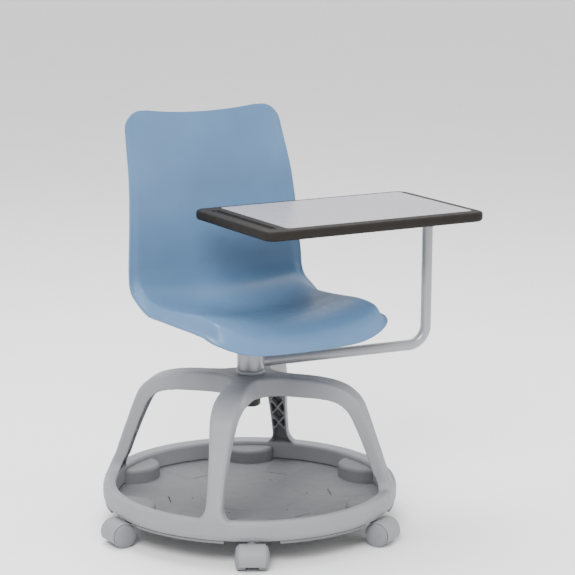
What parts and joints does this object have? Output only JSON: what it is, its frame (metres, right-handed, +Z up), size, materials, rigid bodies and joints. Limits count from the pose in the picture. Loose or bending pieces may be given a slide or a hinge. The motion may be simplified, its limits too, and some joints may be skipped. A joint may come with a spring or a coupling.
{
  "type": "student desk chair",
  "caption": "Student desk chair: one-piece swivel seat shell and a swivel tablet arm on one column, over a round rolling base with an open bag tray and twin-wheel casters.",
  "frame": {"origin": "centre of the whole chair's bounding box, on the floor", "axes": "+Z up; the sitter faces -Y; +X is the sitter's left, the side the tablet post stands on"},
  "size_m": [0.7506, 0.6004, 0.8261],
  "materials": {
    "cage_plastic": "fine moulded grain",
    "tray_plastic": "fine moulded grain",
    "shell_plastic": "fine moulded grain, satin",
    "painted_steel": "powder coat, satin",
    "column_steel": "turned, lightly oiled",
    "black_plastic": "moulded",
    "tablet_plastic": "fine moulded grain",
    "laminate": "satin laminate",
    "caster_plastic": "moulded",
    "wheel_plastic": "moulded",
    "zinc_screw": "zinc plated"
  },
  "bodies": {
    "base": {"base_cage": "cage_plastic", "backpack_tray": "tray_plastic", "tray_screw_1": "zinc_screw", "tray_screw_2": "zinc_screw", "tray_screw_3": "zinc_screw", "column_post": "column_steel", "column_end_cap": "black_plastic", "column_foot_ring": "painted_steel"},
    "seat": {"seat_hub": "painted_steel", "seat_plate": "painted_steel", "seat_shell": "shell_plastic", "seat_screw_1": "zinc_screw", "seat_screw_2": "zinc_screw", "seat_screw_3": "zinc_screw", "seat_screw_4": "zinc_screw"},
    "arm": {"arm_collar": "painted_steel", "arm_tube": "painted_steel"},
    "tablet": {"tablet_pivot": "tablet_plastic", "tablet_frame": "tablet_plastic", "tablet_top": "laminate", "tablet_screw_1": "zinc_screw", "tablet_screw_2": "zinc_screw", "tablet_screw_3": "zinc_screw", "tablet_screw_4": "zinc_screw"},
    "caster_1": {"caster_1_stem": "column_steel", "caster_1_hood": "caster_plastic", "caster_1_axle": "column_steel"},
    "caster_1_wheel_left": {"caster_1_wheel_left": "wheel_plastic"},
    "caster_1_wheel_right": {"caster_1_wheel_right": "wheel_plastic"},
    "caster_2": {"caster_2_stem": "column_steel", "caster_2_hood": "caster_plastic", "caster_2_axle": "column_steel"},
    "caster_2_wheel_left": {"caster_2_wheel_left": "wheel_plastic"},
    "caster_2_wheel_right": {"caster_2_wheel_right": "wheel_plastic"},
    "caster_3": {"caster_3_stem": "column_steel", "caster_3_hood": "caster_plastic", "caster_3_axle": "column_steel"},
    "caster_3_wheel_left": {"caster_3_wheel_left": "wheel_plastic"},
    "caster_3_wheel_right": {"caster_3_wheel_right": "wheel_plastic"},
    "caster_4": {"caster_4_stem": "column_steel", "caster_4_hood": "caster_plastic", "caster_4_axle": "column_steel"},
    "caster_4_wheel_left": {"caster_4_wheel_left": "wheel_plastic"},
    "caster_4_wheel_right": {"caster_4_wheel_right": "wheel_plastic"},
    "caster_5": {"caster_5_stem": "column_steel", "caster_5_hood": "caster_plastic", "caster_5_axle": "column_steel"},
    "caster_5_wheel_left": {"caster_5_wheel_left": "wheel_plastic"},
    "caster_5_wheel_right": {"caster_5_wheel_right": "wheel_plastic"},
    "caster_6": {"caster_6_stem": "column_steel", "caster_6_hood": "caster_plastic", "caster_6_axle": "column_steel"},
    "caster_6_wheel_left": {"caster_6_wheel_left": "wheel_plastic"},
    "caster_6_wheel_right": {"caster_6_wheel_right": "wheel_plastic"}
  },
  "joints": [
    {"name": "seat_swivel", "type": "hinge", "parent": "base", "child": "seat", "pos_m": [-0.0472, 0, 0.35], "axis": [0, 0, 1], "continuous": true},
    {"name": "arm_swivel", "type": "hinge", "parent": "seat", "child": "arm", "pos_m": [-0.0472, 0, 0.35], "axis": [0, 0, 1], "range_deg": [-115, 6]},
    {"name": "tablet_swivel", "type": "hinge", "parent": "arm", "child": "tablet", "pos_m": [0.33541, -0.06197, 0.61], "axis": [0, 0, 1], "range_deg": [0, 115]},
    {"name": "caster_1_swivel", "type": "hinge", "parent": "base", "child": "caster_1", "pos_m": [0.10067, -0.2413, 0.05], "axis": [0, 0, 1], "continuous": true},
    {"name": "caster_1_left_spin", "type": "hinge", "parent": "caster_1", "child": "caster_1_wheel_left", "pos_m": [0.11007, -0.25664, 0.0235], "axis": [0.8526, 0.5225, 0], "continuous": true},
    {"name": "caster_1_right_spin", "type": "hinge", "parent": "caster_1", "child": "caster_1_wheel_right", "pos_m": [0.11007, -0.25664, 0.0235], "axis": [0.8526, 0.5225, 0], "continuous": true},
    {"name": "caster_2_swivel", "type": "hinge", "parent": "base", "child": "caster_2", "pos_m": [0.2357, 0.00741, 0.05], "axis": [0, 0, 1], "continuous": true},
    {"name": "caster_2_left_spin", "type": "hinge", "parent": "caster_2", "child": "caster_2_wheel_left", "pos_m": [0.2537, 0.00788, 0.0235], "axis": [-0.0262, 0.9997, 0], "continuous": true},
    {"name": "caster_2_right_spin", "type": "hinge", "parent": "caster_2", "child": "caster_2_wheel_right", "pos_m": [0.2537, 0.00788, 0.0235], "axis": [-0.0262, 0.9997, 0], "continuous": true},
    {"name": "caster_3_swivel", "type": "hinge", "parent": "base", "child": "caster_3", "pos_m": [0.08784, 0.24871, 0.05], "axis": [0, 0, 1], "continuous": true},
    {"name": "caster_3_left_spin", "type": "hinge", "parent": "caster_3", "child": "caster_3_wheel_left", "pos_m": [0.09642, 0.26452, 0.0235], "axis": [-0.8788, 0.4772, 0], "continuous": true},
    {"name": "caster_3_right_spin", "type": "hinge", "parent": "caster_3", "child": "caster_3_wheel_right", "pos_m": [0.09642, 0.26452, 0.0235], "axis": [-0.8788, 0.4772, 0], "continuous": true},
    {"name": "caster_4_swivel", "type": "hinge", "parent": "base", "child": "caster_4", "pos_m": [-0.19507, 0.2413, 0.05], "axis": [0, 0, 1], "continuous": true},
    {"name": "caster_4_left_spin", "type": "hinge", "parent": "caster_4", "child": "caster_4_wheel_left", "pos_m": [-0.20447, 0.25664, 0.0235], "axis": [-0.8526, -0.5225, 0], "continuous": true},
    {"name": "caster_4_right_spin", "type": "hinge", "parent": "caster_4", "child": "caster_4_wheel_right", "pos_m": [-0.20447, 0.25664, 0.0235], "axis": [-0.8526, -0.5225, 0], "continuous": true},
    {"name": "caster_5_swivel", "type": "hinge", "parent": "base", "child": "caster_5", "pos_m": [-0.3301, -0.00741, 0.05], "axis": [0, 0, 1], "continuous": true},
    {"name": "caster_5_left_spin", "type": "hinge", "parent": "caster_5", "child": "caster_5_wheel_left", "pos_m": [-0.3481, -0.00788, 0.0235], "axis": [0.0262, -0.9997, 0], "continuous": true},
    {"name": "caster_5_right_spin", "type": "hinge", "parent": "caster_5", "child": "caster_5_wheel_right", "pos_m": [-0.3481, -0.00788, 0.0235], "axis": [0.0262, -0.9997, 0], "continuous": true},
    {"name": "caster_6_swivel", "type": "hinge", "parent": "base", "child": "caster_6", "pos_m": [-0.18224, -0.24871, 0.05], "axis": [0, 0, 1], "continuous": true},
    {"name": "caster_6_left_spin", "type": "hinge", "parent": "caster_6", "child": "caster_6_wheel_left", "pos_m": [-0.19082, -0.26452, 0.0235], "axis": [0.8788, -0.4772, 0], "continuous": true},
    {"name": "caster_6_right_spin", "type": "hinge", "parent": "caster_6", "child": "caster_6_wheel_right", "pos_m": [-0.19082, -0.26452, 0.0235], "axis": [0.8788, -0.4772, 0], "continuous": true}
  ]
}
